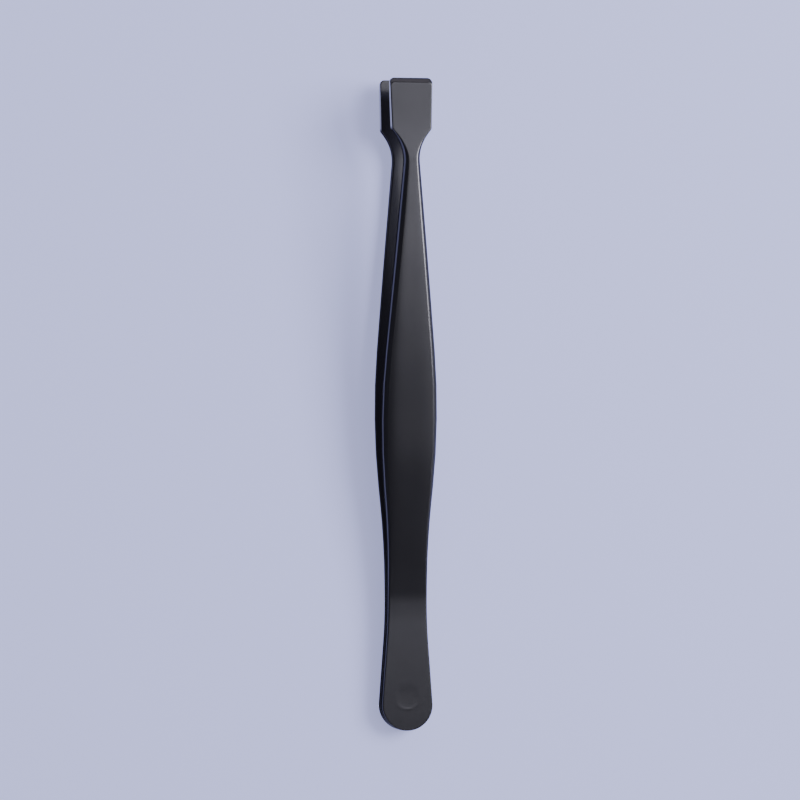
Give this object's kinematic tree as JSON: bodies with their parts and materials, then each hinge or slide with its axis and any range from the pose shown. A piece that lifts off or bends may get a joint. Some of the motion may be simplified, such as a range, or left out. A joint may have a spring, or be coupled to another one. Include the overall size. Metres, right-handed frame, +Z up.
{
  "type": "precision tweezers",
  "caption": "Slim spring-steel tweezers with a black coating, bowed arms joined at a rounded heel, and flat spade tips for lifting thin, flat pieces.",
  "frame": {"origin": "on the bench, under the middle of the tweezers' overall box, with the tweezers lying on the rear arm", "axes": "+Y from the rounded heel to the spade tips, +X across the arms, +Z up through the front arm's outer face; the plane between the two arms rises 2.66 degrees towards the tips"},
  "size_m": [0.0104, 0.1202, 0.0123],
  "materials": {
    "black_coat": "satin",
    "bare_steel": "matte"
  },
  "bodies": {
    "heel": {"front_heel": "black_coat", "rear_heel": "black_coat", "weld_nuggets": "bare_steel"},
    "front_blade": {"front_blade": "black_coat"},
    "rear_blade": {"rear_blade": "black_coat"}
  },
  "joints": [
    {"name": "front_arm_flex", "type": "hinge", "parent": "heel", "child": "front_blade", "pos_m": [0, -0.03308, 0.00388], "axis": [-1, 0, 0], "range_deg": [0, 2.28], "stiffness_Nm_per_rad": 2.5},
    {"name": "rear_arm_flex", "type": "hinge", "parent": "heel", "child": "rear_blade", "pos_m": [0, -0.03298, 0.0018], "axis": [1, 0, 0], "range_deg": [0, 2.28], "stiffness_Nm_per_rad": 2.5}
  ],
  "couplings": [
    {"joint": "rear_arm_flex", "follows": "front_arm_flex", "ratio": 1}
  ]
}
